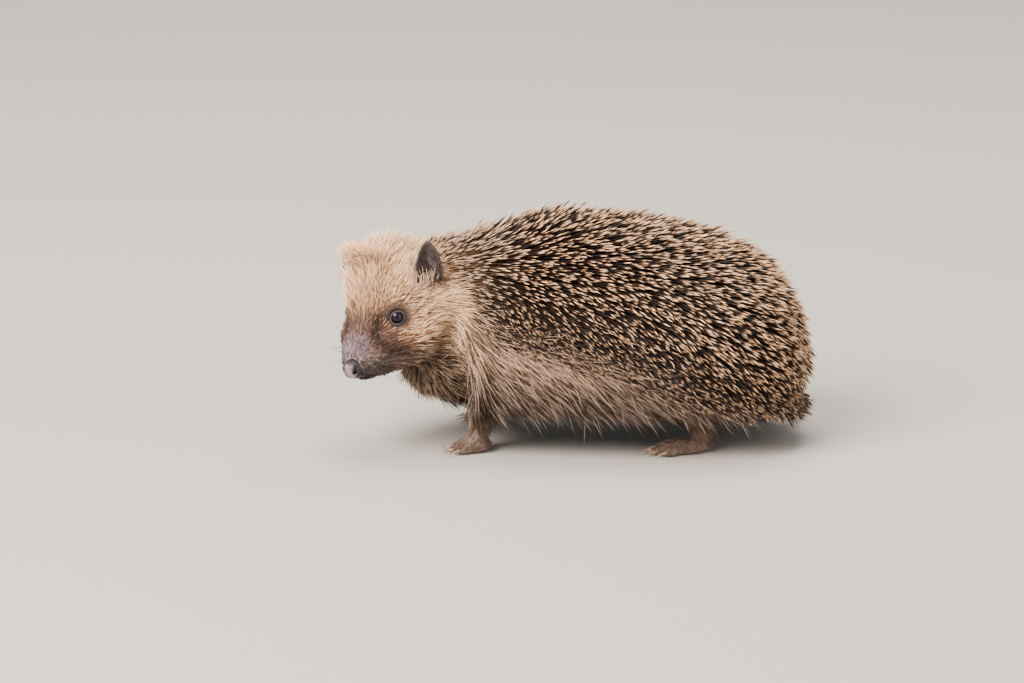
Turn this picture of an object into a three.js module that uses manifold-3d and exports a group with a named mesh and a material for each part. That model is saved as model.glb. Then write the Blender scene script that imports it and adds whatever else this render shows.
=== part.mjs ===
// A young European hedgehog, life size, standing still on its four soles.
//
// Millimetres, +Z up. The animal faces -X, so its left side is at -Y. Its head is lowered and turned
// to its left. Every outer surface runs along the tips of the coat, as the hand would feel it.
//
// The body is one loft through ribs. A rib is a closed ring in one plane, given by a point on the
// back, a point on the belly and a half width. The loft is parted into head, neck and trunk.

import * as THREE from 'three';
import Module from 'manifold-3d';
import { mergeVertices } from 'three/addons/utils/BufferGeometryUtils.js';
import { LoftGeometry } from 'three/addons/geometries/LoftGeometry.js';

const wasm = await Module();
wasm.setup();

// ---------------------------------------------------------------- driving dimensions, in mm

const gap = 0.3; // clearance kept between neighbouring parts
const ringPoints = 26; // points round each body rib
const headStep = 1 / 3; // loft rows lie this far apart on the head, counted in ribs
const bodyStep = 0.5; // and this far apart on the neck and trunk

const noseTip = new THREE.Vector3(-96.8, -38.3, 36.5);
const headTurn = THREE.MathUtils.degToRad(48); // towards the animal's left
const headDrop = THREE.MathUtils.degToRad(31); // nose below the level of the nape
const headTilt = THREE.MathUtils.degToRad(7); // crown leaning to the animal's right

// Ribs of the head, in the head's own frame: how far behind the nose tip, the height of the roof
// and of the floor over the nose tip, and the half width.
const headRibs = [
  { name: 'muzzle end', behind: 3.2, roof: 3, floor: -4.6, half: 4.9, level: 0.5 },
  { name: 'snout', behind: 8, roof: 5.5, floor: -8.5, half: 9.4, level: 0.48 },
  { name: 'muzzle', behind: 14.6, roof: 9.8, floor: -12, half: 15.6, level: 0.45 },
  { name: 'stop', behind: 21.3, roof: 17, floor: -14.5, half: 22.2, level: 0.42 },
  { name: 'brow', behind: 28, roof: 26.5, floor: -16.5, half: 26, level: 0.42 },
  { name: 'forehead', behind: 34, roof: 34, floor: -16, half: 26.6, level: 0.42 },
  { name: 'crown', behind: 40, roof: 39, floor: -12, half: 26.6, level: 0.42 },
];

// Ribs of the neck and trunk, from the nape to the rump. roof and floor are [x, y, z], and turn is
// how far the rib still faces the way the head does, from 1 at the head to 0.
const trunkRibs = [
  { name: 'neck', roof: [-64, -10, 92.5], floor: [-60, -3, 40], half: 30, turn: 0.42, level: 0.42, arch: 0 },
  { name: 'withers', roof: [-40, -1, 93.5], floor: [-50, 0, 14], half: 40, turn: 0.07, level: 0.36, arch: 2 },
  { name: 'shoulders', roof: [-23, 0, 97.5], floor: [-30, 0, 12], half: 44, turn: 0, level: 0.34, arch: 5 },
  { name: 'back', roof: [0, 0, 99.5], floor: [-4, 0, 11], half: 48, turn: 0, level: 0.33, arch: 7 },
  { name: 'loin', roof: [28, 0, 96.5], floor: [28, 0, 11], half: 51, turn: 0, level: 0.33, arch: 7 },
  { name: 'croup', roof: [54, 0, 91], floor: [56, 0, 11], half: 50, turn: 0, level: 0.33, arch: 6 },
  { name: 'rump', roof: [76, 0, 81], floor: [78, 0, 10.5], half: 43, turn: 0, level: 0.34, arch: 5 },
  { name: 'seat', roof: [91, 0, 65], floor: [92, 0, 10.5], half: 31, turn: 0, level: 0.36, arch: 3 },
  { name: 'stern', roof: [98.5, 0, 49], floor: [99.5, 0, 14], half: 16, turn: 0, level: 0.42, arch: 1 },
  { name: 'hindmost', roof: [101.5, 0, 36], floor: [101.5, 0, 26], half: 4, turn: 0, level: 0.5, arch: 0 },
];

const headEnd = 6.3; // where the head ends, counted in ribs from the muzzle end
const neckEnd = 7.5; // where the neck ends, before the withers
const breast = { at: [-49, -3, 39], half: [29, 28, 24] }; // the front of the trunk, under the throat

const eyeRadius = 2.9;
const eyeAt = { behind: 27.4, side: 14, up: 10.2 }; // middle of the eyeball in the head's frame

// Hollows in the coat of the head, round each eye and in front of each ear.
const hollows = [
  { behind: 27.2, up: 10.2, depth: 10, reach: 6.5 },
  { behind: 42, up: 21, depth: 3.5, reach: 9 },
];

const noseHalf = new THREE.Vector3(4.6, 5, 4.4); // half length, half width and half height

const ear = {
  root: { behind: 43.4, side: 23, up: 17.1 },
  faces: new THREE.Vector3(0.5, 0.82, 0.2), // where the hollow of the ear looks
  height: 17,
  buried: 5, // length of the root below the coat
  half: 5.8,
  rootShare: 0.2, // the width of the root, as a share of the widest place
  thick: 1.4,
  rim: 0.35, // how much of that the edge loses
  cup: 3.6, // depth of the hollow
  rows: 8,
  columns: 6,
};

// From the root of an ear to its tip: back, outwards and up. The right ear is laid back.
const earLean = {
  left: new THREE.Vector3(-8.6, 2.6, 15),
  right: new THREE.Vector3(-15, 0.6, 8.5),
};

const soleGrip = 0.8; // how far the pads are pressed flat by the ground
const clawBend = 1.1; // how far a claw's tip hooks down
const forefoot = {
  length: 15,
  half: 6,
  high: 7.5,
  heel: 6,
  ankle: 8.5,
  toe: 6.5,
  toeHalf: 1.9,
  spread: 0.2,
  claw: { length: 4.5, half: 0.9 },
};
const hindfoot = {
  length: 25,
  half: 5.6,
  high: 7,
  heel: 6,
  ankle: 9,
  toe: 7,
  toeHalf: 2,
  spread: 0.13,
  claw: { length: 5, half: 0.95 },
};
const toeCount = 5;
const toeTurn = 0.34 * Math.PI; // how far round its end a toe is cut flat for the claw
const toeLengthShare = 0.6; // half length of a toe, as a share of its reach
const ankleHalf = { top: 4.5, bottom: 4.8 };
const legPoints = 12; // points round each leg

// Each leg as level rings from the body down to the ankle: height, place and half sizes.
const forelegRings = [
  { z: 40, x: 8, y: -1, halfX: 9, halfY: 7 },
  { z: 31, x: 8, y: 1.5, halfX: 10, halfY: 7.5 },
  { z: 21, x: 5, y: 1.5, halfX: 8, halfY: 6.5 },
  { z: 14, x: 2, y: 0.5, halfX: 5.8, halfY: 5.3 },
  { z: forefoot.ankle + gap, x: 0, y: 0, halfX: 4.7, halfY: 4.6 },
];
const hindlegRings = [
  { z: 46, x: -8, y: -1, halfX: 17, halfY: 8 },
  { z: 35, x: -11, y: 2, halfX: 17, halfY: 9 },
  { z: 25, x: -10, y: 2.5, halfX: 13, halfY: 8 },
  { z: 16, x: -5, y: 1, halfX: 8, halfY: 6 },
  { z: hindfoot.ankle + gap, x: 0, y: 0, halfX: 4.8, halfY: 4.6 },
];

// Where each ankle stands: along the body, out from the middle and how far the toes turn outwards.
const ankles = {
  foreleg_left: { x: -42, out: 25, turn: 8 },
  foreleg_right: { x: -35, out: 24, turn: 10 },
  hindleg_left: { x: 52, out: 26, turn: 14 },
  hindleg_right: { x: 60, out: 26, turn: 12 },
};

const tailPath = { from: [86, 0, 18], to: [101, 0, 8.5], thickHalf: 4, tipHalf: 1 };

const finishes = {
  fur: { color: '#cdb194', roughness: 0.95 },
  quills: { color: '#8c745d', roughness: 0.8 },
  skin: { color: '#8b766f', roughness: 0.75 },
  ear: { color: '#5a4844', roughness: 0.85 },
  nose: { color: '#2b2a30', roughness: 0.3 },
  eye: { color: '#0d0c12', roughness: 0.05 },
  claw: { color: '#9b8778', roughness: 0.45 },
};

// ---------------------------------------------------------------- small helpers

function solidOf(geometry) {
  const bare = new THREE.BufferGeometry();
  bare.setAttribute('position', geometry.attributes.position);
  bare.setIndex(geometry.index);
  const merged = mergeVertices(bare, 1e-3);
  const vertProperties = new Float32Array(merged.attributes.position.array);
  const triVerts = new Uint32Array(merged.index.array);
  return new wasm.Manifold(new wasm.Mesh({ numProp: 3, vertProperties, triVerts }));
}

function geometryOf(solid) {
  const mesh = solid.getMesh();
  const geometry = new THREE.BufferGeometry();
  geometry.setAttribute('position', new THREE.BufferAttribute(new Float32Array(mesh.vertProperties), 3));
  geometry.setIndex(new THREE.BufferAttribute(new Uint32Array(mesh.triVerts), 1));
  geometry.computeVertexNormals();
  return geometry;
}

function named(name, geometry, finish) {
  const material = new THREE.MeshStandardMaterial({ metalness: 0, ...finishes[finish] });
  const mesh = new THREE.Mesh(geometry, material);
  mesh.name = name;
  return mesh;
}

// A point on a superellipse of half size 1: power 2 is round, and a higher power is squarer.
function rounded(value, power) {
  return Math.sign(value) * Math.pow(Math.abs(value), 2 / power);
}

// ---------------------------------------------------------------- the head's frame

const forward = new THREE.Vector3(
  -Math.cos(headTurn) * Math.cos(headDrop),
  -Math.sin(headTurn) * Math.cos(headDrop),
  -Math.sin(headDrop),
);
const leftward = new THREE.Vector3(Math.sin(headTurn), -Math.cos(headTurn), 0);
leftward.applyAxisAngle(forward, headTilt);
const upward = new THREE.Vector3().crossVectors(forward, leftward);
const headFrame = new THREE.Matrix4().makeBasis(forward, leftward, upward).setPosition(noseTip);

function inHead(behind, side, up) {
  return new THREE.Vector3(-behind, side, up).applyMatrix4(headFrame);
}

// ---------------------------------------------------------------- the body loft

const bodyLeft = new THREE.Vector3(0, -1, 0);

function ribFromHead(rib) {
  const roof = inHead(rib.behind, 0, rib.roof);
  const floor = inHead(rib.behind, 0, rib.floor);
  return [...roof, ...floor, ...leftward, rib.half, rib.level, 0];
}

function ribFromTrunk(rib) {
  const side = bodyLeft.clone().lerp(leftward, rib.turn).normalize();
  return [...rib.roof, ...rib.floor, ...side, rib.half, rib.level, rib.arch];
}

const ribs = [...headRibs.map(ribFromHead), ...trunkRibs.map(ribFromTrunk)];
const ribValues = ribs[0].length;
const alongRibs = new THREE.CubicInterpolant(
  ribs.map((rib, index) => index),
  ribs.flat(),
  ribValues,
  new Float64Array(ribValues),
);
const toHead = headFrame.clone().invert();

// Presses a point of the head inwards where the coat lies hollow.
function pressHollows(point) {
  const local = point.clone().applyMatrix4(toHead);
  for (const { behind, up, depth, reach } of hollows) {
    const away = Math.hypot(local.x + behind, local.z - up) / reach;
    local.y -= Math.sign(local.y) * depth * Math.exp(-away * away);
  }
  return local.applyMatrix4(headFrame);
}

// One ring of the body at a place counted in ribs, made larger all round by grow.
function bodyRing(place, grow) {
  const values = alongRibs.evaluate(place);
  const roof = new THREE.Vector3().fromArray(values, 0);
  const floor = new THREE.Vector3().fromArray(values, 3);
  const side = new THREE.Vector3().fromArray(values, 6).normalize();
  const half = values[9] + grow;
  const level = values[10];
  const arch = values[11];
  const upright = roof.clone().sub(floor);
  const height = upright.length();
  upright.normalize();
  const middle = floor.clone().addScaledVector(upright, height * level);
  const above = height * (1 - level) + grow;
  const below = height * level + grow;
  const squareness = 2 + Math.min(arch, 5) * 0.16;
  const ring = [];
  for (let k = 0; k < ringPoints; k++) {
    const angle = (-k / ringPoints) * 2 * Math.PI;
    const across = Math.cos(angle);
    const along = Math.sin(angle);
    const power = along > 0 ? 2.1 : squareness;
    const lift = along > 0 ? above * rounded(along, power) : below * rounded(along, power);
    const hollow = along > 0 ? 0 : arch * Math.pow(along, 4);
    const point = middle.clone();
    point.addScaledVector(side, half * rounded(across, power));
    point.addScaledVector(upright, lift + hollow);
    ring.push(place < headRibs.length + 1 ? pressHollows(point) : point);
  }
  const facing = new THREE.Vector3().crossVectors(upright, side);
  return { ring, facing };
}

// The body from one place to another. grow thickens it all round, past both ends too.
function bodyPiece(from, to, grow = 0) {
  const step = to > headRibs.length ? bodyStep : headStep;
  const rows = Math.ceil((to - from) / step);
  const rings = [];
  for (let row = 0; row <= rows; row++) {
    const { ring, facing } = bodyRing(from + ((to - from) * row) / rows, grow);
    const beyond = (distance) => ring.map((point) => point.clone().addScaledVector(facing, distance));
    if (grow > 0 && row === 0) rings.push(beyond(-grow));
    rings.push(ring);
    if (grow > 0 && row === rows) rings.push(beyond(grow));
  }
  return solidOf(new LoftGeometry(rings, { capStart: true, capEnd: true }));
}

function ball(radius, across, down) {
  return new THREE.SphereGeometry(radius, across, down);
}

// The front of the trunk, which bulges forward below the neck.
function breastSolid(grow) {
  const [x, y, z] = breast.half;
  return solidOf(ball(1, 16, 11).scale(x + grow, y + grow, z + grow).translate(...breast.at));
}

const last = ribs.length - 1;
const roomForHead = bodyPiece(0, headEnd, gap);
const roomForNeck = bodyPiece(headEnd, neckEnd, gap);
const whole = roomForHead.add(roomForNeck).add(bodyPiece(neckEnd, last, gap)).add(breastSolid(gap));
let head = bodyPiece(0, headEnd);
const neck = bodyPiece(headEnd, neckEnd).subtract(roomForHead);
let trunk = bodyPiece(neckEnd, last).add(breastSolid(0)).subtract(roomForNeck).subtract(roomForHead);

const model = new THREE.Group();
const sides = { left: 1, right: -1 };

// ---------------------------------------------------------------- eyes and nose

for (const [word, sign] of Object.entries(sides)) {
  const middle = inHead(eyeAt.behind, sign * eyeAt.side, eyeAt.up);
  const eye = ball(eyeRadius, 12, 8).translate(...middle);
  const socket = ball(eyeRadius + gap, 12, 8).translate(...middle);
  head = head.subtract(solidOf(socket));
  model.add(named(`eye_${word}`, eye, 'eye'));
}

// The nose pad is a blunt egg that is let into the end of the muzzle.
function nosePad(grow) {
  const pad = ball(1, 16, 9);
  pad.scale(noseHalf.x + grow, noseHalf.y + grow, noseHalf.z + grow);
  pad.translate(-noseHalf.x, 0, -0.4);
  return pad.applyMatrix4(headFrame);
}

head = head.subtract(solidOf(nosePad(gap)));
model.add(named('nose', nosePad(0), 'nose'));

// ---------------------------------------------------------------- ears

// One ear in the head's frame: a thin cupped leaf, round at the tip. sign is -1 on the right.
function earLeaf(lean, sign) {
  const rise = lean.clone().normalize();
  const look = ear.faces.clone().addScaledVector(rise, -ear.faces.dot(rise)).normalize();
  const wide = new THREE.Vector3().crossVectors(rise, look);
  const root = new THREE.Vector3(-ear.root.behind, ear.root.side, ear.root.up);
  const bulgeFrom = 0.06 * Math.PI; // the outline widens and closes like this stretch of a sine
  const bulgeTo = 0.985 * Math.PI;
  const rings = [];
  for (let row = 0; row <= ear.rows; row++) {
    const up = row / ear.rows;
    const bulge = Math.sin(THREE.MathUtils.lerp(bulgeFrom, bulgeTo, up));
    const half = ear.half * Math.max(ear.rootShare, Math.pow(bulge, 1 - up / 2));
    const centre = root.clone().addScaledVector(rise, -ear.buried + up * (ear.height + ear.buried));
    const ring = [];
    for (let k = 0; k < 2 * ear.columns; k++) {
      const front = k < ear.columns;
      const step = front ? k / (ear.columns - 1) : (2 * ear.columns - 1 - k) / (ear.columns - 1);
      const across = 2 * step - 1;
      const hollow = ear.cup * (half / ear.half) * across * across;
      const skin = (front ? 0.5 : -0.5) * ear.thick * (1 - ear.rim * across * across);
      const point = centre.clone().addScaledVector(wide, half * across);
      point.addScaledVector(look, hollow + skin);
      point.y *= sign;
      ring.push(point.applyMatrix4(headFrame));
    }
    rings.push(sign > 0 ? ring : ring.reverse());
  }
  return new LoftGeometry(rings, { capStart: true, capEnd: true });
}

for (const [word, sign] of Object.entries(sides)) {
  const leaf = solidOf(earLeaf(earLean[word], sign));
  model.add(named(`ear_${word}`, geometryOf(leaf.subtract(whole)), 'ear'));
}

// ---------------------------------------------------------------- legs and feet

// A leg as a loft of level rings. thicken keeps room for it in the trunk.
function legSolid(levels, x, y, sign, thicken) {
  const values = new THREE.CubicInterpolant(
    levels.map((level, index) => index),
    levels.flatMap((level) => [level.z, level.x, level.y, level.halfX, level.halfY]),
    5,
    new Float64Array(5),
  );
  const rings = [];
  const rows = (levels.length - 1) * 2;
  for (let row = 0; row <= rows; row++) {
    const [z, offX, offY, halfX, halfY] = values.evaluate(row / 2);
    const end = row === 0 ? thicken : row === rows ? -thicken : 0;
    const ring = [];
    for (let k = 0; k < legPoints; k++) {
      const angle = (-k / legPoints) * 2 * Math.PI;
      const px = x + offX + (halfX + thicken) * Math.cos(angle);
      const py = y - sign * offY + (halfY + thicken) * Math.sin(angle);
      ring.push(new THREE.Vector3(px, py, z + end));
    }
    rings.push(ring);
  }
  return solidOf(new LoftGeometry(rings, { capStart: true, capEnd: true }));
}

// A level plane's upper side, as a large box.
function above(z) {
  const size = 400;
  return solidOf(new THREE.BoxGeometry(size, size, size).translate(0, 0, z + size / 2));
}

// Puts a shape that points to -X where a toe of the foot is: the toes fan out from the front pad.
function placeToe(shape, foot, index) {
  const fan = index - (toeCount - 1) / 2;
  const reach = 1 - 0.05 * fan * fan;
  shape.rotateZ(-fan * foot.spread);
  return shape.translate(foot.heel - foot.length * 0.86 * reach - foot.toe * 0.3, fan * foot.half * 0.43, 0);
}

// A toe is a long ball with a flat end, where its claw begins.
function toeSolid(foot, index) {
  const steps = 3;
  const halfLength = foot.toe * toeLengthShare;
  const outline = [new THREE.Vector2(0, -halfLength)];
  for (let step = 1; step <= steps; step++) {
    const angle = THREE.MathUtils.lerp(-Math.PI / 2, toeTurn, step / steps);
    outline.push(new THREE.Vector2(foot.toeHalf * Math.cos(angle), halfLength * Math.sin(angle)));
  }
  outline.push(new THREE.Vector2(0, outline[steps].y));
  const toe = new THREE.LatheGeometry(outline, 6).rotateZ(Math.PI / 2);
  toe.translate(0, 0, foot.toeHalf - soleGrip * 0.5);
  return solidOf(placeToe(toe, foot, index));
}

// A foot with its heel behind the ankle and its toes towards -X, flat under its pads.
function footSolid(foot) {
  const pad = ball(1, 12, 7).scale(foot.length / 2, foot.half, foot.high / 2);
  pad.translate(foot.heel - foot.length / 2, 0, foot.high / 2 - soleGrip);
  const rise = foot.ankle - foot.high / 2;
  const stub = new THREE.CylinderGeometry(ankleHalf.top, ankleHalf.bottom, rise, 9).rotateX(Math.PI / 2);
  stub.translate(0, 0, (foot.ankle + foot.high / 2) / 2);
  let solid = solidOf(pad).add(solidOf(stub));
  for (let index = 0; index < toeCount; index++) {
    solid = solid.add(toeSolid(foot, index));
  }
  return solid.intersect(above(0));
}

// A claw is a thin cone that bends down towards its tip and stays just clear of the ground.
function clawGeometry(foot, index) {
  const { length, half } = foot.claw;
  const cone = new THREE.CylinderGeometry(0.3, half, length, 6, 2).rotateZ(Math.PI / 2);
  const position = cone.attributes.position;
  for (let i = 0; i < position.count; i++) {
    const along = 0.5 - position.getX(i) / length;
    position.setZ(i, position.getZ(i) - clawBend * along * along);
  }
  const toeFront = foot.toe * toeLengthShare * Math.sin(toeTurn);
  cone.translate(-toeFront - gap - length / 2, 0, foot.toeHalf - soleGrip * 0.5);
  return placeToe(cone, foot, index);
}

function buildLimb(legName, footName, foot, levels) {
  const spot = ankles[legName];
  const sign = sides[legName.split('_')[1]];
  const y = -sign * spot.out;
  trunk = trunk.subtract(legSolid(levels, spot.x, y, sign, gap));
  model.add(named(legName, geometryOf(legSolid(levels, spot.x, y, sign, 0)), 'fur'));

  const standing = new THREE.Group();
  standing.position.set(spot.x, y, 0);
  standing.rotation.z = THREE.MathUtils.degToRad(sign * spot.turn);
  standing.add(named(footName, geometryOf(footSolid(foot)), 'skin'));
  for (let index = 0; index < toeCount; index++) {
    standing.add(named(`${footName}_claw_${index + 1}`, clawGeometry(foot, index), 'claw'));
  }
  model.add(standing);
}

for (const word of Object.keys(sides)) {
  buildLimb(`foreleg_${word}`, `forefoot_${word}`, forefoot, forelegRings);
  buildLimb(`hindleg_${word}`, `hindfoot_${word}`, hindfoot, hindlegRings);
}

// ---------------------------------------------------------------- tail

function tailSolid() {
  const from = new THREE.Vector3(...tailPath.from);
  const run = new THREE.Vector3(...tailPath.to).sub(from);
  const turn = new THREE.Quaternion();
  const cone = new THREE.CylinderGeometry(tailPath.tipHalf, tailPath.thickHalf, run.length(), 12, 3);
  cone.translate(0, run.length() / 2, 0);
  cone.applyQuaternion(turn.setFromUnitVectors(new THREE.Vector3(0, 1, 0), run.normalize()));
  return solidOf(cone.translate(...from));
}

model.add(named('tail', geometryOf(tailSolid().subtract(whole)), 'skin'));
model.add(named('head', geometryOf(head), 'fur'));
model.add(named('neck', geometryOf(neck), 'fur'));
model.add(named('trunk', geometryOf(trunk), 'quills'));

// ---------------------------------------------------------------- the origin, under the middle

const bounds = new THREE.Box3().setFromObject(model, true);
const centre = bounds.getCenter(new THREE.Vector3());
model.position.set(-centre.x, -centre.y, -bounds.min.z);

export default model;
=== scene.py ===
# %% [markdown]
# # A young European hedgehog, standing still
#
# The solid parts give the animal's outline out to the tips of its coat. This notebook puts the
# living surface inside that outline: one seamless skin, a back full of banded spines, and coarse
# fur over the face, flanks, belly and legs. Eyes, lids, nose and claws are pieces of their own.
#
# Everything is worked out in millimetres and turned to metres when a mesh is written.

# %% Load the frame
import math

import bmesh
import bpy
import numpy as np
from mathutils import Matrix, Vector
from mathutils.bvhtree import BVHTree
from mathutils.kdtree import KDTree


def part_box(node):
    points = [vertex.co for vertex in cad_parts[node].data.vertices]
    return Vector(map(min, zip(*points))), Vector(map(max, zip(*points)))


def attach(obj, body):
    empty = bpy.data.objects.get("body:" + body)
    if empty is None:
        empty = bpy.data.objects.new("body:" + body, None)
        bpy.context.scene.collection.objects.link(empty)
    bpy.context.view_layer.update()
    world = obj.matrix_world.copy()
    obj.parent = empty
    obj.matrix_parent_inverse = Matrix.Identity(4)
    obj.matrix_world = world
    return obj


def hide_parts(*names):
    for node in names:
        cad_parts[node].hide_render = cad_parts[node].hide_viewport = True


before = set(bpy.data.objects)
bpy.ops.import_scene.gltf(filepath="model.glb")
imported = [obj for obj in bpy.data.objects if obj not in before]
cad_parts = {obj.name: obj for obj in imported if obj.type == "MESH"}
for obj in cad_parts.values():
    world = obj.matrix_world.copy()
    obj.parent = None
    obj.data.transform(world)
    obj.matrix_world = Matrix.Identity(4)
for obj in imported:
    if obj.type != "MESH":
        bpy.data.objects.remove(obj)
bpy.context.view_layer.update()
MM = 0.001
dice = np.random.default_rng(11)

# %% [markdown]
# ## Small tools
#
# Soft masks decide where one colour or one kind of hair gives way to the next, so three little
# functions turn up everywhere: `ease` goes smoothly from 0 to 1, `bell` is 1 at zero and fades out,
# and `unit` keeps only a direction. Colours are written as sRGB hex and turned to linear light.
# Numbers inside masks are millimetres on the animal. The other functions move meshes in and out of
# the scene, and numbers in and out of meshes.

# %% Small tools
def unit(vectors):
    return vectors / np.maximum(np.linalg.norm(vectors, axis=-1, keepdims=True), 1e-9)


def ease(value, low, high):
    share = np.clip((value - low) / (high - low), 0, 1)
    return share * share * (3 - 2 * share)


def bell(value, width):
    return np.exp(-((value / width) ** 2))


def linear(hex_colour):
    channels = np.array([int(hex_colour[k : k + 2], 16) for k in (1, 3, 5)]) / 255
    return np.where(channels <= 0.04045, channels / 12.92, ((channels + 0.055) / 1.055) ** 2.4)


def middle(node):
    low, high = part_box(node)
    return (np.array(low) + np.array(high)) / 2 / MM


def distance_to(points, spots):
    """How far each point is from the nearer of two spots."""
    return np.minimum(*[np.linalg.norm(points - spot, axis=1) for spot in spots.values()])


def put_in_scene(name, data):
    """Wraps a mesh, a camera or a light in an object of the scene."""
    made = bpy.data.objects.new(name, data)
    bpy.context.scene.collection.objects.link(made)
    return made


def result_of(piece):
    """The mesh that an object's modifiers make. The object itself is taken away."""
    evaluated = piece.evaluated_get(bpy.context.evaluated_depsgraph_get())
    made = bpy.data.meshes.new_from_object(evaluated)
    bpy.data.objects.remove(piece)
    return made


def shade_smooth(mesh):
    mesh.polygons.foreach_set("use_smooth", np.ones(len(mesh.polygons), bool))


def rows_of(items, what, width, kind=float):
    """Reads one row of numbers for each vertex, edge or corner of a mesh."""
    flat = np.empty(len(items) * width, kind)
    items.foreach_get(what, flat)
    return flat.reshape(-1, width)


def give(mesh, name, kind, values):
    """Stores one value for each vertex: kind is FLOAT or FLOAT_COLOR."""
    layer = mesh.attributes.new(name, kind, "POINT")
    if kind == "FLOAT":
        layer.data.foreach_set("value", values)
    else:
        opaque = np.column_stack([values, np.ones(len(values))])
        layer.data.foreach_set("color", opaque.ravel())


# %% [markdown]
# ## Finding one's way on the animal
#
# A face is easiest to describe in its own directions, and this one is lowered and turned. The two
# eyes and the nose fix those directions: the line through the eyes points to the animal's left, and
# the line from the eyes to the nose falls 25 degrees below straight ahead. Behind the head the neck
# bends, so places along the body are counted round the bend and then straight back along X.

# %% The head's own directions
SNOUT_FALL = math.radians(24.9)  # from between the eyes down to the nose
NOSE_HALF = np.array([4.6, 5.0, 4.4])  # half length, width and height of the nose pad
NOSE_SUNK = 2.0  # how much of the pad's half length lies in the snout
EYE_RADIUS = 2.9
GAZE = (0.52, 0.81, 0.26)  # an eye looks this much forward, to its own side and up

eye_middles = {"left": middle("eye_left"), "right": middle("eye_right")}
nose_middle = middle("nose")
leftward = unit(eye_middles["left"] - eye_middles["right"])
to_nose = nose_middle - (eye_middles["left"] + eye_middles["right"]) / 2
to_nose = unit(to_nose - leftward * (to_nose @ leftward))
forward = math.cos(SNOUT_FALL) * to_nose + math.sin(SNOUT_FALL) * np.cross(to_nose, leftward)
upward = np.cross(forward, leftward)
head_axes = (forward, leftward, upward)
nose_root = nose_middle + forward * (NOSE_HALF[0] - NOSE_SUNK) + upward * 0.4  # places count from here


def head_place(points):
    """How far points lie behind the nose, to the animal's left and above it."""
    away = points - nose_root
    return -(away @ forward), away @ leftward, away @ upward


def head_share(points):
    """1 on the head, fading to 0 over the neck."""
    behind, side, up = head_place(points)
    return ease(np.sqrt(((behind - 24) / 30) ** 2 + (side / 31) ** 2 + ((up - 6) / 36) ** 2), 1.3, 1.02)


def head_spot(points, at, reach):
    """1 at a place of the head, given as behind, side and up, and fading out over the reach."""
    away = np.stack(head_place(points), axis=1) - np.array(at)
    return bell(np.linalg.norm(away, axis=1), reach)


def eye_distance(points):
    return distance_to(points, eye_middles)


gaze = {}
for word, sign in (("left", 1), ("right", -1)):
    gaze[word] = unit(forward * GAZE[0] + leftward * sign * GAZE[1] + upward * GAZE[2])

# %% Places along the body
BEND = np.array([-39.5, -53.0])  # the neck bends round this upright line
BEND_MM_PER_DEGREE = 0.6
NECK_TURN = math.radians(60)  # the neck turns no further than this


def round_bend(points):
    """The angle of each point round the bend, and whether it lies in front of the shoulders."""
    over = points[:, :2] - BEND
    return np.arctan2(-over[:, 0], over[:, 1]), over[:, 0] < 0


def along_body(points):
    """X behind the shoulders, and the way round the neck's bend in front of them."""
    turned, in_front = round_bend(points)
    on_neck = BEND[0] - BEND_MM_PER_DEGREE * np.clip(np.degrees(turned), 0, 90)
    return np.where(in_front, on_neck, points[:, 0])


def neck_turn(points):
    """How far round the bend a point of the neck lies, in radians; 0 behind the shoulders."""
    turned, in_front = round_bend(points)
    return np.where(in_front, np.clip(turned, 0, NECK_TURN), 0)


# Spines grow above this height: place along the body and height of the lowest roots.
SPINE_EDGE = {
    "along": [-78, -72, -66, -58, -52, -44, -36, -26, -14, 4, 22, 42, 70, 100],
    "height": [140, 92, 84, 76, 66, 58, 54, 52, 49, 45, 38, 31, 24, 20],
}


def above_spine_edge(points):
    return points[:, 2] - np.interp(along_body(points), SPINE_EDGE["along"], SPINE_EDGE["height"])


# %% [markdown]
# ## One skin
#
# The solids are parted so that each can be named and weighed, but a real skin has no seams. The
# flesh parts are copied, swollen by less than the gap between them and remeshed into one closed
# surface of even little squares. Modelling a new skin by hand would be slower and fit less well.

# %% Join the flesh
FLESH = ["head", "neck", "trunk", "tail", "ear_left", "ear_right"]
LIMBS = ["foreleg", "hindleg", "forefoot", "hindfoot"]
FLESH += [f"{limb}_{side}" for side in ("left", "right") for limb in LIMBS]
SWELL = 0.2
SKIN_GRAIN = 0.8  # side of the little squares

joined = bmesh.new()
owner = []
for number, node in enumerate(FLESH):
    block = bmesh.new()
    block.from_mesh(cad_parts[node].data)
    bmesh.ops.remove_doubles(block, verts=block.verts, dist=0.01 * MM)
    block.normal_update()
    for vert in block.verts:
        vert.co += vert.normal * SWELL * MM
    copied = bpy.data.meshes.new(node)
    block.to_mesh(copied)
    block.free()
    joined.from_mesh(copied)
    owner += [number] * (len(joined.faces) - len(owner))
flesh_tree = BVHTree.FromBMesh(joined)
flesh_mesh = bpy.data.meshes.new("flesh")
joined.to_mesh(flesh_mesh)
joined.free()
flesh = put_in_scene("flesh", flesh_mesh)
remesh = flesh.modifiers.new("Remesh", "REMESH")
remesh.mode = "VOXEL"
remesh.voxel_size = SKIN_GRAIN * MM
skin_mesh = result_of(flesh)

# %% Keep the outer surface only
whole = bmesh.new()
whole.from_mesh(skin_mesh)
whole.verts.ensure_lookup_table()
unseen = set(whole.verts)
islands = []
while unseen:
    edge_of_island = [unseen.pop()]
    island = list(edge_of_island)
    while edge_of_island:
        for edge in edge_of_island.pop().link_edges:
            for vert in edge.verts:
                if vert in unseen:
                    unseen.remove(vert)
                    edge_of_island.append(vert)
                    island.append(vert)
    islands.append(island)
islands.sort(key=len)
bmesh.ops.delete(whole, geom=[vert for island in islands[:-1] for vert in island], context="VERTS")
whole.to_mesh(skin_mesh)
whole.free()


# %% Read and write the skin as arrays
def places(mesh):
    return rows_of(mesh.vertices, "co", 3) / MM


def set_places(mesh, points):
    mesh.vertices.foreach_set("co", (points * MM).ravel())
    mesh.update()


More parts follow.
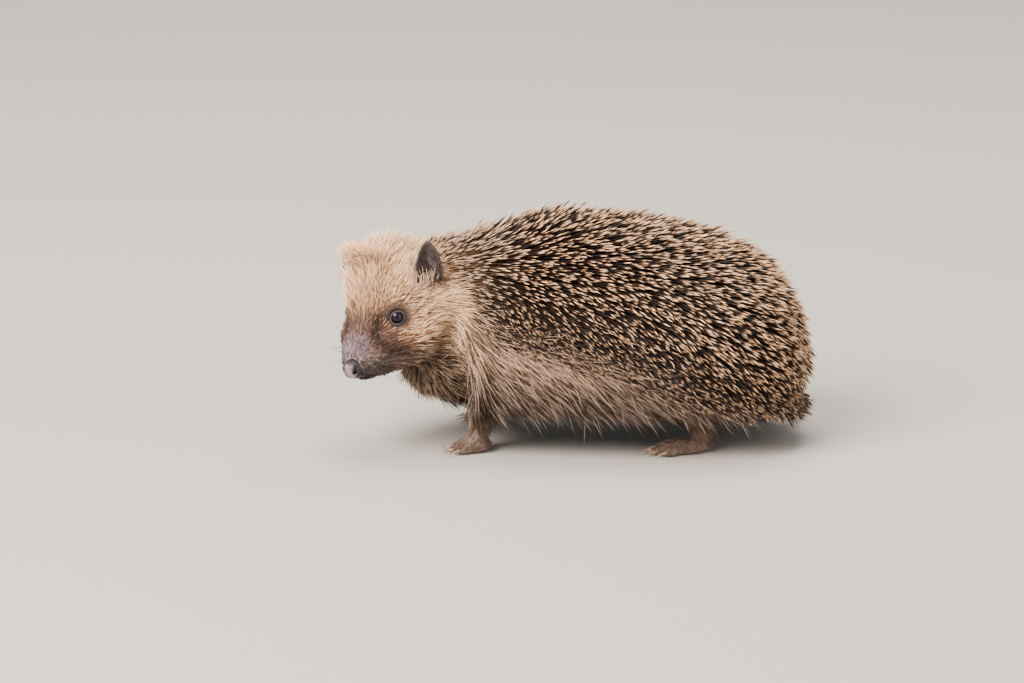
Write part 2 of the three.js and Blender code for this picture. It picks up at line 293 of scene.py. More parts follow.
def normals_of(mesh):
    return rows_of(mesh.vertices, "normal", 3)


def edges_of(mesh):
    return rows_of(mesh.edges, "vertices", 2, int)


def relaxed(values, edges, share, times):
    """Each value moves towards the mean of its neighbours on the mesh."""
    count = len(values)
    ends = np.concatenate([edges[:, 0], edges[:, 1]])
    others = np.concatenate([edges[:, 1], edges[:, 0]])
    valence = np.bincount(ends, minlength=count)
    for _ in range(times):
        sums = np.stack([np.bincount(ends, column[others], count) for column in values.T], axis=1)
        values = values + share * (sums / valence[:, None] - values)
    return values


# %% [markdown]
# ## Which part a point of the skin belongs to
#
# Ears and feet are nearly bare and keep their size, while the back carries 9 mm of spines. So each
# point of the skin looks up the nearest solid part, and these marks are then blurred over the
# surface, which makes every change from one depth of coat to another a gentle one.

# %% Part marks
KINDS = {"ear": "ear", "foot": "forefoot hindfoot", "leg": "foreleg hindleg", "tail": "tail"}
COLUMN = {kind: column for column, kind in enumerate(KINDS)}
BARE = [COLUMN["ear"], COLUMN["foot"], COLUMN["tail"]]  # the nearly hairless kinds


def kind_of(node):
    """Ear, foot, leg or tail; anything else is body."""
    word = node.split("_")[0]
    return next((kind for kind, words in KINDS.items() if word in words.split()), "body")


def marks_of(mesh):
    nearest = [owner[flesh_tree.find_nearest(vert.co)[2]] for vert in mesh.vertices]
    kinds = np.array([kind_of(node) for node in FLESH])[nearest]
    return np.stack([(kinds == kind).astype(float) for kind in KINDS], axis=1)


# %% Fewer squares under the spines
KEPT_SHARE = 0.58  # of the squares under the spines
plain = put_in_scene("skin_copy", skin_mesh)
points = places(skin_mesh)
hidden = ease(head_place(points)[0], 58, 66) * (1 - marks_of(skin_mesh).max(axis=1))
hidden = hidden * ease(points[:, 2], 18, 24)
group = plain.vertex_groups.new(name="hidden")
for index in np.flatnonzero(hidden > 0.5):
    group.add([int(index)], 1.0, "REPLACE")
fewer = plain.modifiers.new("Decimate", "DECIMATE")
fewer.ratio = KEPT_SHARE
fewer.vertex_group = "hidden"
fewer.vertex_group_factor = 100
skin_mesh = result_of(plain)
edges = edges_of(skin_mesh)
marks = relaxed(marks_of(skin_mesh), edges, 0.6, 9)


# %% The depth of the coat
ear_roots = {}
for word in ("left", "right"):
    leaf = places(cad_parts[f"ear_{word}"].data)
    low = leaf[:, 2] < np.quantile(leaf[:, 2], 0.3)
    ear_roots[word] = leaf[low].mean(axis=0)


def ear_root_distance(points):
    return distance_to(points, ear_roots)


def coat_depth(points, marks):
    """How far the skin lies under the tips of the coat, in mm."""
    behind = head_place(points)[0]
    face = np.interp(behind, [2, 6, 12, 18, 24, 30, 38, 46], [0.2, 0.5, 0.9, 1.5, 2.6, 3.8, 5.2, 6.2])
    face = face * (1 - 0.95 * bell(eye_distance(points), 6))
    body = np.interp(points[:, 2], [12, 24, 40, 60], [3.0, 4.5, 6.0, 7.0])
    spines = ease(above_spine_edge(points), -10, 6)
    body = body + spines * (8.8 - body)
    depth = body + head_share(points) * (face - body)
    depth = depth + 2.5 * head_spot(points, (37, -17, 29), 9)  # the crown's far corner
    depth = depth * (1 - 0.6 * bell(ear_root_distance(points), 6))
    for kind, own in {"ear": 0.0, "foot": 0.0, "leg": 1.8, "tail": 0.3}.items():
        depth = depth + marks[:, COLUMN[kind]] * (own - depth)
    return depth


# %% Smooth the joins, then sink the skin
def creases_filled(points, times, share):
    """Lifts the skin out of narrow creases, and leaves rounded places as they are."""
    for _ in range(times):
        set_places(skin_mesh, points)
        out = normals_of(skin_mesh)
        lift = ((relaxed(points, edges, 0.5, 30) - points) * out).sum(axis=1)
        points = points + out * (np.maximum(lift, 0) * share)[:, None]
    return points


def smoothed(points, times, share):
    """Relaxes the skin where the share is 1 and leaves it where the share is 0."""
    return points + (relaxed(points, edges, 0.5, times) - points) * share[:, None]


points = places(skin_mesh)
for share in (0.5, -0.52) * 4:
    points = relaxed(points, edges, share, 1)
thin = np.clip(marks[:, COLUMN["ear"]] * 2, 0, 1)
behind = head_place(points)[0]
join = ease(behind, 30, 44) * ease(behind, 92, 72) * ease(points[:, 2], 10, 18) * (1 - thin)
points = creases_filled(smoothed(points, 120, join), 6, join)
set_places(skin_mesh, points)
depth = relaxed(coat_depth(points, marks)[:, None], edges, 0.6, 30)
SINK_STEPS = 8
for _ in range(SINK_STEPS):
    points = points - normals_of(skin_mesh) * depth / SINK_STEPS
    points = smoothed(points, 2, 1 - thin)
    set_places(skin_mesh, points)
points = creases_filled(points, 4, join)
round_ears = ease(ear_root_distance(points), 22, 14) * (1 - thin)
points = smoothed(points, 140, round_ears)
# The crown hides the right ear from the left side, so its hairless leaf is drawn into the hair.
DRAWN_IN = 0.14  # share of the leaf's height
right_root = ear_roots["right"]
in_hair = DRAWN_IN * thin * ease(np.linalg.norm(points - right_root, axis=1), 26, 20)
points = points + (right_root - points) * in_hair[:, None]
set_places(skin_mesh, points)
print("coat depth in mm:", depth.min().round(2), "to", depth.max().round(2))
print("skin box:", points.min(axis=0).round(1), points.max(axis=0).round(1))

# %% [markdown]
# ## Finer squares on the face
#
# The mouth line and the rims of the eyes are less than a millimetre wide, finer than the squares of
# the skin. Splitting the squares there, and only there, keeps the rest light.

# %% Split the squares of the muzzle and round the eyes
for kind in KINDS:
    give(skin_mesh, kind, "FLOAT", marks[:, COLUMN[kind]])
fine = bmesh.new()
fine.from_mesh(skin_mesh)
wanted = (head_place(points)[0] < 18) | (eye_distance(points) < 7.5)
fine.verts.ensure_lookup_table()
near = [edge for edge in fine.edges if wanted[edge.verts[0].index] and wanted[edge.verts[1].index]]
bmesh.ops.subdivide_edges(fine, edges=near, cuts=1, use_grid_fill=True, smooth=0.4)
fine.to_mesh(skin_mesh)
fine.free()
skin_mesh.update()
points = places(skin_mesh)
edges = edges_of(skin_mesh)
marks = np.column_stack([rows_of(skin_mesh.attributes[kind].data, "value", 1) for kind in KINDS])
for kind in KINDS:
    skin_mesh.attributes.remove(skin_mesh.attributes[kind])
print("skin faces:", len(skin_mesh.polygons))

# %% The mouth line and the pads of the whiskers
behind, side, up = head_place(points)
normal = normals_of(skin_mesh)
lip_height = -7.4 - 0.16 * behind
on_side = ease(np.abs(side), 0.6, 2.5)
mouth = bell(up - lip_height, 0.75) * ease(behind, 3, 6) * ease(behind, 23, 18) * on_side
lower_lip = bell(up - lip_height + 1.6, 1.2) * ease(behind, 5, 8) * ease(behind, 22, 16) * on_side
whisker_pad = bell(up + 2.0, 3.2) * bell(behind - 9.5, 4.5) * ease(np.abs(side), 2, 5)
points = points + normal * (0.25 * lower_lip + 0.7 * whisker_pad - 1.1 * mouth)[:, None]

# %% The skin closes round the nose pad
away = points - nose_middle
across = np.stack([away @ axis / half for axis, half in zip(head_axes, NOSE_HALF)], axis=1)
swell = np.linalg.norm(across, axis=1)
closing = 0.12 * bell(swell - 1.1, 0.16) * ease(across[:, 0], 0.45, -0.15)
points = points - away * closing[:, None]

# %% The bed of the eyes
BED_RADIUS = EYE_RADIUS - 0.25  # the skin stays just under the ball's surface
for word, spot in eye_middles.items():
    away = points - spot
    ahead = away @ gaze[word]
    aside = np.linalg.norm(away - ahead[:, None] * gaze[word], axis=1)
    front = ahead > -4
    wished = np.interp(aside, [2.4, 2.9, 3.4, 4.2, 5.4], [0.2, 0.8, 1.05, 1.25, 1.3])
    share = ease(aside, 6.0, 3.4) * front
    moved = ahead + share * (wished - ahead)
    points = points + gaze[word] * (moved - ahead)[:, None]
    away = points - spot
    reach = np.linalg.norm(away, axis=1, keepdims=True)
    on_ball = spot + away / np.maximum(reach, 1e-6) * BED_RADIUS
    points = np.where((reach < BED_RADIUS) & front[:, None], on_ball, points)
set_places(skin_mesh, points)

# %% Unwrap the skin
skin = put_in_scene("skin", skin_mesh)
bpy.context.view_layer.objects.active = skin
skin.select_set(True)
while skin_mesh.uv_layers:
    skin_mesh.uv_layers.remove(skin_mesh.uv_layers[0])
skin_mesh.uv_layers.new(name="OFBake")
bpy.ops.object.mode_set(mode="EDIT")
bpy.ops.mesh.select_all(action="SELECT")
bpy.ops.uv.smart_project(angle_limit=math.radians(70), island_margin=0.002)
bpy.ops.object.mode_set(mode="OBJECT")
shade_smooth(skin_mesh)
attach(skin, "root")
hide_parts(*FLESH)

# %% [markdown]
# ## Markings
#
# Skin and hair share their colours on a real animal, so one function gives the colour of any place,
# and both skin and hair ask it. It starts from the straw colour of the flanks and paints over it:
# grey belly, dark legs, near-black between the spines, greyish muzzle, dark streak before the eye.
# Some marks are painted light and shade: the near-black between the spines, the dark under the jaw,
# at the ear's root and along the fold below it, part of the darker chest, and a pale patch that
# lightens the hollow behind the cheek.

# %% The colour of any place
# Two dark lines, by places behind the nose, aside from it and above it: a streak from the eye's
# front corner beside the ridge of the nose to the mouth, and painted shade along a fold of the hair
# below the ear.
STREAK = np.array([(23, 13, 14), (17.5, 8, 12), (13.5, 8, 8.5), (12, 12.5, 4), (15, 17, -1)])
EAR_FOLD_SHADE = np.array([(41, 27.4, 13), (41.3, 29.5, 8), (41, 29.5, 3)])


def path_distance(spots, path):
    nearest = np.full(len(spots), 1e9)
    for start, end in zip(path[:-1], path[1:]):
        run = end - start
        share = np.clip((spots - start) @ run / (run @ run), 0, 1)
        nearest = np.minimum(nearest, np.linalg.norm(spots - start - share[:, None] * run, axis=1))
    return nearest


def markings(points, marks):
    behind, side, up = head_place(points)
    aside = np.abs(side)
    in_head = np.stack([behind, aside, up], axis=1)
    colour = np.tile(linear("#a9846a"), (len(points), 1))

    def paint(hex_colour, mask):
        colour[:] = colour + np.clip(mask, 0, 1)[:, None] * (linear(hex_colour) - colour)

    def patch(at, reach):
        return bell(np.linalg.norm(in_head - np.array(at), axis=1), reach)

    height = points[:, 2]
    place = along_body(points)
    paint("#5f4f45", ease(height, 50, 32))
    paint("#463c37", ease(height, 32, 16))
    is_head = head_share(points)
    # The chest and the front of the shoulder are darker: partly the greyer throat hair, partly painted
    # shade.
    paint("#54443a", 0.5 * ease(place, -36, -46) * ease(height, 50, 32))
    # Painted shade: the skin among the spines is near-black, for the deep shade down between them.
    shade_between_spines = ease(above_spine_edge(points), -3, 3) * (1 - is_head)
    paint("#2b1a11", shade_between_spines * (1 - 0.85 * ease(place, -36, -56)))
    paint("#cc9870", is_head * ease(up, -12, 2))
    paint("#f0b482", is_head * ease(behind, 26, 38) * ease(up, 10, 24))
    paint("#dca47c", is_head * 0.45 * bell(side + 4, 2.8) * ease(up, 12, 19) * ease(behind, 38, 28))
    paint("#cd9465", is_head * 0.75 * patch((24, 19, 2), 6))
    paint("#8c7464", is_head * 0.8 * patch((22, 12, -12), 8))
    paint("#947266", ease(behind, 22, 15) * ease(up, 20, 13))
    # Painted shade: the lower cheek, jaw and throat are darkened where they lie in shade under the
    # head.
    shade_under_jaw = ease(up + 6 * ease(behind, 27, 35), 3, -5)
    paint("#4e3f36", 0.85 * is_head * shade_under_jaw * ease(behind, 14, 22))
    # Painted light: a pale patch lifts the shade in the hollow between the cheek and the shoulder.
    paint("#e8bb94", 0.75 * bell(place + 60, 7) * bell(height - 53, 8))
    paint("#927d88", ease(behind, 15, 9) * ease(side, 10, 3) * ease(side, -13, -7))
    paint("#655852", ease(behind, 14, 10) * ease(up, 4, 0))
    paint("#3f3135", ease(behind, 5.5, 2.5))
    paint("#93655a", 0.6 * patch((17, 13.5, 7), 3.8))
    paint("#5e4338", 0.85 * bell(eye_distance(points) - 4.2, 2.0))
    paint("#3d261c", 0.95 * bell(path_distance(in_head, STREAK), 2.6))
    # Painted shade along the fold of the hair below the ear.
    paint("#74503a", 0.8 * bell(path_distance(in_head, EAR_FOLD_SHADE), 2.4))
    paint("#3a2822", bell(eye_distance(points) - 3.6, 0.9))
    for kind, own in {"ear": "#332827", "foot": "#69554a", "leg": "#8a7260", "tail": "#8d7866"}.items():
        paint(own, marks[:, COLUMN[kind]] * 1.5)
    # Painted shade in the cleft round the ear's root.
    paint("#3a2a24", bell(ear_root_distance(points), 5.5) * ease(behind, 46, 40))
    return colour


# %% Lay the markings on the skin
# Skin lies in the shade of its hair, except where it is bare or the hair is very short.
IN_SHADE = 0.42
normal = normals_of(skin_mesh)
coat_colour = markings(points, marks)
in_light = np.clip(marks[:, BARE].sum(axis=1) * 1.5 + ease(head_place(points)[0], 20, 12), 0, 1)
shaded = coat_colour * (IN_SHADE + (1 - IN_SHADE) * in_light)[:, None]
give(skin_mesh, "marking", "FLOAT_COLOR", shaded)

# %% [markdown]
# ## The lie of the coat
#
# Hair and spines grow backwards from the nose. On the forehead that carries them up to the crown,
# on the cheeks it carries them back and a little down, and on the flanks they hang lower the
# further down they grow. Round each eye the hairs part, as they do on every furry face.

# %% Which way hair lies
# How many degrees below level the coat points, by height above the floor.
FALL = {
    "height": [15, 30, 45, 55, 64, 72, 79, 86, 92, 96],
    "degrees": [48, 35, 34, 38, 41, 41, 36, 26, 8, 0],
}
RUMP_FALL = 36


def flat_on(direction, normal):
    return unit(direction - normal * (direction * normal).sum(axis=1, keepdims=True))


def lie(points, normal):
    """The lie of the coat by rule, before it is smoothed over the skin."""
    behind, side, up = head_place(points)
    height = points[:, 2]
    place = along_body(points)
    fall = np.interp(height, FALL["height"], FALL["degrees"])
    fall = fall * (1 - 0.25 * ease(place, -25, -45) * ease(height, 62, 46))
    fall = fall + 10 * ease(place, 20, -20) * ease(height, 78, 85)
    fall = fall * ease(place, 110, 60) + RUMP_FALL * (1 - ease(place, 110, 60))
    fall = np.radians(fall)
    turned = neck_turn(points)
    level = np.stack([np.cos(turned), np.sin(turned), 0 * turned], axis=1)
    body = level * np.cos(fall)[:, None] - np.array([0, 0, 1.0]) * np.sin(fall)[:, None]
    below = ease(normal[:, 2], -0.75, -0.97)[:, None]
    body = body * (1 - below) + np.array([1.0, 0, 0]) * below
    droop = np.interp(up, [-14, -2, 10, 20], [0.8, 0.5, 0.1, -0.1])
    apart = 0.25 * np.sign(side) * ease(np.abs(side), 1, 12) * ease(up, 26, 14)
    head = -forward - upward * droop[:, None] + leftward * apart[:, None]
    is_head = head_share(points)[:, None]
    return flat_on(body * (1 - is_head) + unit(head) * is_head, normal)


normal = normals_of(skin_mesh)
flow = flat_on(relaxed(lie(points, normal), edges, 0.5, 150), normal)
for spots, reach, strength in ((eye_middles, 5.5, 1.6), (ear_roots, 8, 0.9)):
    for spot in spots.values():
        away = points - spot
        parting = bell(np.linalg.norm(away, axis=1), reach)[:, None]
        flow = flat_on(flow + unit(away) * strength * parting, normal)


# %% [markdown]
# ## Scattering roots
#
# Each kind of hair has a density over the skin, in hairs per square millimetre. Triangles are drawn
# in proportion to their area times that density, and a root lands anywhere inside. Normals, colours
# and the place on the unwrap are read off the same triangle, so they agree with the skin exactly.

# %% Scatter
skin_mesh.calc_loop_triangles()
triangles = rows_of(skin_mesh.loop_triangles, "vertices", 3, int)
corners = rows_of(skin_mesh.loop_triangles, "loops", 3, int)
corner_uv = rows_of(skin_mesh.uv_layers["OFBake"].data, "uv", 2)[corners]
first, second, third = (points[triangles[:, k]] for k in range(3))
area = np.linalg.norm(np.cross(second - first, third - first), axis=1) / 2
print("skin area in cm2:", round(area.sum() / 100, 1), "triangles:", len(triangles))


def scatter(density):
    """Roots strewn over the skin: their places, normals, colours and places on the unwrap."""
    expected = area * density[triangles].mean(axis=1)
    count = int(expected.sum())
    chosen = np.searchsorted(np.cumsum(expected), dice.random(count) * expected.sum())
    chosen = np.minimum(chosen, len(area) - 1)
    share = dice.dirichlet((1, 1, 1), count)

    def read(values):
        return (values[triangles[chosen]] * share[:, :, None]).sum(axis=1)

    found = {"at": read(points), "normal": unit(read(normal)), "colour": read(coat_colour)}
    found["uv"] = (corner_uv[chosen] * share[:, :, None]).sum(axis=1)
    found["way"] = flat_on(read(flow), found["normal"])
    return found


def thinned(roots, spacing):
    """Drops roots that crowd an earlier one, so that those left are evenly spread."""
    kept = []
    cells = {}
    for index, spot in enumerate(roots["at"]):
        cell = tuple(np.floor(spot / spacing).astype(int))
        around = [
            other
            for dx in (-1, 0, 1)
            for dy in (-1, 0, 1)
            for dz in (-1, 0, 1)
            for other in cells.get((cell[0] + dx, cell[1] + dy, cell[2] + dz), ())
        ]
        if not around or np.min(np.sum((roots["at"][around] - spot) ** 2, axis=1)) > spacing**2:
            cells.setdefault(cell, []).append(index)
            kept.append(index)
    return {name: values[kept] for name, values in roots.items()}


# %% [markdown]
# ## Growing strands
#
# A spine or a lock of hair is a thin closed spike. All spikes of one kind share one pattern of rings
# and triangles, so thousands are written at once as arrays, the way an Array modifier would join
# them, but each with its own root, length, curve and colour. A spike rises from the skin at its lift,
# bends to its tip lift, and leans towards the tip of the nearest leader, which gathers hair in tufts.

# %% One mesh of many strands
PATCH = 0.003  # size of a strand's own patch on the unwrap
ROOT_DEPTH = 0.4
CLEAR_OF_FLOOR = 0.6


def centre_lines(roots, way, length, lift, tip_lift, steps):
    """Points down the middle of each strand, one row for each step of the way."""
    line = [roots["at"] - roots["normal"] * ROOT_DEPTH]
    for start, end in zip(steps[:-1], steps[1:]):
        angle = lift + (tip_lift - lift) * (start + end) / 2
        ahead = way * np.cos(angle)[:, None] + roots["normal"] * np.sin(angle)[:, None]
        line.append(line[-1] + ahead * (length * (end - start))[:, None])
    line = np.stack(line)
    line[..., 2] = np.maximum(line[..., 2], CLEAR_OF_FLOOR)
    return line


def gathered(line, steps, roots, one_in, strength, tone):
    """Bends strands towards the tip of the nearest leader and moves their tones towards its tone."""
    leaders = dice.choice(len(roots["at"]), max(1, len(roots["at"]) // one_in), replace=False)
    tree = KDTree(len(leaders))
    for number, leader in enumerate(leaders):
        tree.insert(roots["at"][leader], number)
    tree.balance()
    own = leaders[[tree.find(spot)[1] for spot in roots["at"]]]
    pull = (line[-1][own] + (roots["at"] - roots["at"][own]) * 0.25 - line[-1]) * strength
    return line + pull * (np.array(steps) ** 1.6)[:, None, None], 0.45 * tone + 0.55 * tone[own]


def strand_mesh(name, roots, line, steps, width, swell, sides, flat, tone):
    """Skins the centre lines with closed spikes and stores along, tone and marking."""
    count = len(roots["at"])
    rings = len(steps) - 1
    ahead = unit(np.concatenate([line[1:] - line[:-1], (line[-1] - line[-2])[None]]))
    across = unit(np.cross(roots["normal"], ahead[0]))
    rows = []
    for ring in range(rings):
        upright = unit(np.cross(ahead[ring], across))
        for corner in range(sides):
            angle = 2 * math.pi * corner / sides + math.pi / 2
            offset = across * math.cos(angle) + upright * math.sin(angle) * flat
            rows.append(line[ring] + offset * (width * swell[ring] / 2)[:, None])
    rows.append(line[-1])
    verts = np.stack(rows, axis=1)
    per_strand = verts.shape[1]

    pattern = []  # vertex, share across the patch, share along it
    for ring in range(rings):
        for corner in range(sides):
            left, right = corner / sides, (corner + 1) / sides
            a = (ring * sides + corner, left, steps[ring])
            b = (ring * sides + (corner + 1) % sides, right, steps[ring])
            if ring == rings - 1:
                pattern += [a, b, (rings * sides, (corner + 0.5) / sides, 1.0)]
                continue
            c = (a[0] + sides, left, steps[ring + 1])
            d = (b[0] + sides, right, steps[ring + 1])
            pattern += [a, b, d, a, d, c]
    for corner in range(1, sides - 1):
        pattern += [(0, 0.0, 0.0), (corner + 1, 1.0, 0.0), (corner, 0.5, 0.08)]

    index = (np.arange(count)[:, None] * per_strand + np.array([p[0] for p in pattern])).ravel()
    spread = np.array([(p[1] - 0.5, p[2] - 0.5) for p in pattern]) * PATCH
    uv = (roots["uv"][:, None, :] + spread).reshape(-1, 2)
    along = np.append(np.repeat(steps[:-1], sides), 1.0)

    mesh = bpy.data.meshes.new(name)
    mesh.vertices.add(count * per_strand)
    mesh.vertices.foreach_set("co", (verts * MM).ravel())
    mesh.loops.add(len(index))
    mesh.loops.foreach_set("vertex_index", index)
    mesh.polygons.add(len(index) // 3)
    mesh.polygons.foreach_set("loop_start", np.arange(0, len(index), 3))
    shade_smooth(mesh)
    mesh.update(calc_edges=True)
    mesh.uv_layers.new(name="OFBake").data.foreach_set("uv", uv.ravel())
    give(mesh, "along", "FLOAT", np.tile(along, count))
    give(mesh, "tone", "FLOAT", np.repeat(tone, per_strand))
    give(mesh, "marking", "FLOAT_COLOR", np.repeat(roots["colour"], per_strand, axis=0))
    return put_in_scene(name, mesh)


# %% [markdown]
# ## Spines
#
# A hedgehog's spine is a stiff hollow hair about 20 mm long and 1 mm thick, pointed at both ends,
# cream with a broad dark band below its tip. They are spread evenly, so crowded roots are thinned
# out, and each leans a little its own way. Behind the ears they are shorter and paler.

# %% Grow the spines
SPINE_SPACING = 1.08
SPINE_LENGTH = 18.5
SPINE_WIDTH = 0.74
SPINE_LIFT = 28  # degrees
SPINE_STEPS = np.array([0, 0.4, 0.78, 0.9, 1])
SPINE_SWELL = np.array([0.5, 1.0, 0.95, 0.66])


def grow_spines():
    edge = above_spine_edge(points)
    marked = np.clip(marks.sum(axis=1) * 3, 0, 1)
    where = ease(edge + dice.normal(0, 1.8, len(edge)), -1, 2) * (1 - marked)
    roots = thinned(scatter(where * (1 - head_share(points)) * 1.9), SPINE_SPACING)
    at, up_here = roots["at"], roots["normal"]
    count = len(at)
    across = np.cross(up_here, roots["way"])
    rump = ease(at[:, 0], 60, 92)
    lean = np.radians(dice.normal(0, 10 + 3 * rump, count))[:, None]
    way = unit(roots["way"] * np.cos(lean) + across * np.sin(lean))
    near_edge = ease(above_spine_edge(at), 32, 4)
    near_neck = ease(along_body(at), -34, -58)
    by_tail = ease(at[:, 0], 86, 97) * ease(at[:, 2], 38, 26)
    length = dice.normal(SPINE_LENGTH, 1.3, count) * (1 - 0.2 * near_edge)
    length = length * (1 - 0.2 * near_neck) * (1 - 0.12 * rump) * (1 - 0.55 * by_tail)
    lift = dice.normal(SPINE_LIFT, 4.5, count) + 9 * near_neck - 3 * rump - 18 * by_tail
    lift = np.radians(lift)
    tip_lift = lift - np.radians(dice.normal(4, 3, count))
    line = centre_lines(roots, way, length, lift, tip_lift, SPINE_STEPS)
    width = dice.normal(SPINE_WIDTH, 0.08, count) * (1 - 0.15 * near_neck) * (1 - 0.3 * near_edge)
    tone = dice.random(count) * (1 - 0.6 * near_edge * (1 - by_tail))
    roots["colour"] = roots["colour"] * 0 + near_neck[:, None]  # the finish picks its bands by this
    pieces = []
    for word, mask in {"left": at[:, 1] < 0, "right": at[:, 1] >= 0}.items():
        some = {name: values[mask] for name, values in roots.items()}
        shape = (line[:, mask], SPINE_STEPS, width[mask], SPINE_SWELL)
        pieces.append(strand_mesh(f"spines_{word}", some, *shape, 5, 0.9, tone[mask]))
    return pieces


spines = grow_spines()
for piece in spines:
    print(piece.name, len(piece.data.polygons), "triangles")

# %% [markdown]
# ## Fur
#
# Each stretch of fur is a row of one table: where it grows, how dense, how long and wide its locks
# are, how they lift and how strongly they gather. Under hair comes first and longer, paler guard
# hair lies over it. The muzzle's hair is short and fine, the crown stands up in spikes, and the
# flanks carry coarse strands up to 20 mm long.

# %% Where each kind of fur grows
behind, side, up = head_place(points)
edge_above = above_spine_edge(points)
eye_away = eye_distance(points)
leg = np.clip(marks[:, COLUMN["leg"]] * 1.5, 0, 1)
not_bare = 1 - np.clip(marks[:, BARE].sum(axis=1) * 2.2, 0, 1)
furry = not_bare * ease(eye_away, 3.5, 4.2) * ease(behind, 1.4, 2.6)
is_head = head_share(points)
is_muzzle = ease(behind, 18, 13)
spiny = ease(edge_above, 0, 4) * (1 - is_head)
low = ease(normal[:, 2], -0.75, -0.95)  # where the skin faces the floor
in_streak = bell(path_distance(np.stack([behind, np.abs(side), up], axis=1), STREAK), 4)
chest = ease(along_body(points), -36, -46) * ease(points[:, 2], 50, 32)

muzzle = furry * is_muzzle
face = furry * is_head * (1 - is_muzzle) * (1 - low * 0.5)
pale_face = furry * is_head * ease(behind, 15, 27) * ease(eye_away, 3.8, 6)
pale_face = pale_face * (1 - 0.8 * in_streak) * (1 - 0.5 * ease(up, 1, -6))
crown = not_bare * ease(up, 22, 30) * ease(behind, 30, 38) * ease(behind, 72, 58)
ear_base = not_bare * bell(ear_root_distance(points) - 5.5, 2.0) * ease(behind, 45, 39)
ears = marks[:, COLUMN["ear"]] ** 2
flank = furry * (1 - is_head) * (1 - spiny) * (1 - low) * (1 - leg) * ease(points[:, 0], 99, 92)
skirt = 0.4 * ease(edge_above, 10, 1) * (1 - is_head) * (1 - leg) * not_bare * (1 - low)
skirt = np.maximum(flank, skirt)  # guard hair also stands among the lowest spines
skirt_density = 0.8 * ease(points[:, 2], 8, 48) * (1 - 0.35 * chest)
belly = furry * (1 - is_head) * low * (1 - leg)
legs = furry * leg
foot_tops = marks[:, COLUMN["foot"]] * ease(normal[:, 2], -0.2, 0.4)
pads = bell(up + 1.5, 2.5) * bell(behind - 10, 4) * ease(np.abs(side), 4, 6)

# %% The table of furs
# Each row says where it grows and how many to a square mm; length in mm by the nose and by the
# cheeks; width; lift in degrees and its spread; the share of the lift left at the tip; how far hairs
# stray sideways; the steps of the curve; one in how many leads a tuft and how strongly it gathers;
# and the range of tones.
FEW, MANY = [0, 0.5, 1], [0, 0.4, 0.75, 1]
FACE, FLANK, CROWN = [0, 0.45, 1], [0, 0.35, 0.7, 1], [0, 0.4, 0.8, 1]
WHISKER = [0, 0.25, 0.5, 0.75, 1]
FUR = {
    "fur_muzzle": (muzzle, 7.0, (2.6, 5.6), 0.36, (30, 9), 0.6, 15, FEW, 5, 0.5, (-0.25, 1.3)),
    "fur_face": (face, 4.4, (4.0, 9.5), 0.38, (25, 8), 0.45, 14, FACE, 9, 0.5, (0.1, 1.0)),
    "guard_face": (pale_face, 2.5, (4.5, 11.5), 0.3, (30, 10), 0.8, 16, MANY, 3, 0.25, (0.75, 1.1)),
    "fur_flanks": (flank, 1.6, (15, 17), 0.42, (18, 6), 0.5, 14, FLANK, 6, 0.3, (0.0, 0.7)),
    "guard_flanks": (
        skirt, skirt_density, (19, 20), 0.25, (21, 6), 0.65, 17, MANY, 4, 0.15, (0.7, 1.05)
    ),
    "fur_belly": (belly, 0.8, (10, 12), 0.5, (18, 6), 0.4, 10, FEW, 6, 0.5, (0.2, 1.0)),
    "fur_legs": (legs, 2.6, (4.5, 6.0), 0.36, (20, 6), 0.35, 10, FEW, 5, 0.4, (0.0, 1.0)),
    "fur_feet": (foot_tops, 4.0, (3.0, 3.6), 0.28, (24, 6), 0.4, 10, FEW, 6, 0.3, (0.1, 1.0)),
    "fur_ears": (ears, 3.0, (3.0, 3.0), 0.13, (12, 5), 0.4, 10, FEW, 9, 0.1, (0.6, 1.0)),
    "ear_tufts": (ear_base, 2.4, (9, 12), 0.26, (26, 8), 1.1, 10, MANY, 4, 0.3, (0.8, 1.0)),
    "crown_spines": (crown, 1.3, (12, 13), 0.48, (52, 12), 0.9, 10, CROWN, 4, 0.35, (0.5, 1.1)),
    "whiskers": (pads, 0.32, (22, 24), 0.17, (38, 10), 0.6, 10, WHISKER, 1, 0.0, (0.2, 1.0)),
}
# Some furs have a colour of their own, and this share of it takes over from the markings.
OWN_COLOUR = {
    "guard_face": ("#ffdab4", 0.85), "guard_flanks": ("#ffdcc2", 0.9), "fur_feet": ("#c9ad97", 0.7),
    "ear_tufts": ("#f0d6c6", 0.85), "crown_spines": ("#ffdfc0", 0.75),
}
COMB = {"fur_feet": (-0.7, -0.25, -0.65), "ear_tufts": forward * -0.45 + upward * 0.9}
HEM = {"fur_flanks": 8, "guard_flanks": 8}  # hair ends above this height


# %% Grow the fur
# The strands of every row are dealt out at random to a few pieces, so each piece covers the whole
# animal and none grows too big to handle.
FUR_PIECES = 6


def fur_length(at, low_end, high_end):
    """Hair is shortest at the nose and round the eyes and longest behind the cheeks."""
    share = ease(head_place(at)[0], 5, 40)
    length = low_end + (high_end - low_end) * share
    return length * np.clip((eye_distance(at) - 2.6) / 9, 0.14, 1)


def shortened(at, length, hem):
    """Trims hair above the hem and at the crown's corners, and says how near a corner it is."""
    side, up = head_place(at)[1:]
    corner = head_share(at) * ease(np.abs(side), 7, 13) * ease(up, 14, 22)
    length = np.clip(length, 1, np.maximum((at[:, 2] - hem) * 1.15, 1)) * (1 - 0.35 * corner)
    return length * (1 - 0.6 * head_spot(at, (37, -20, 29), 11)), corner


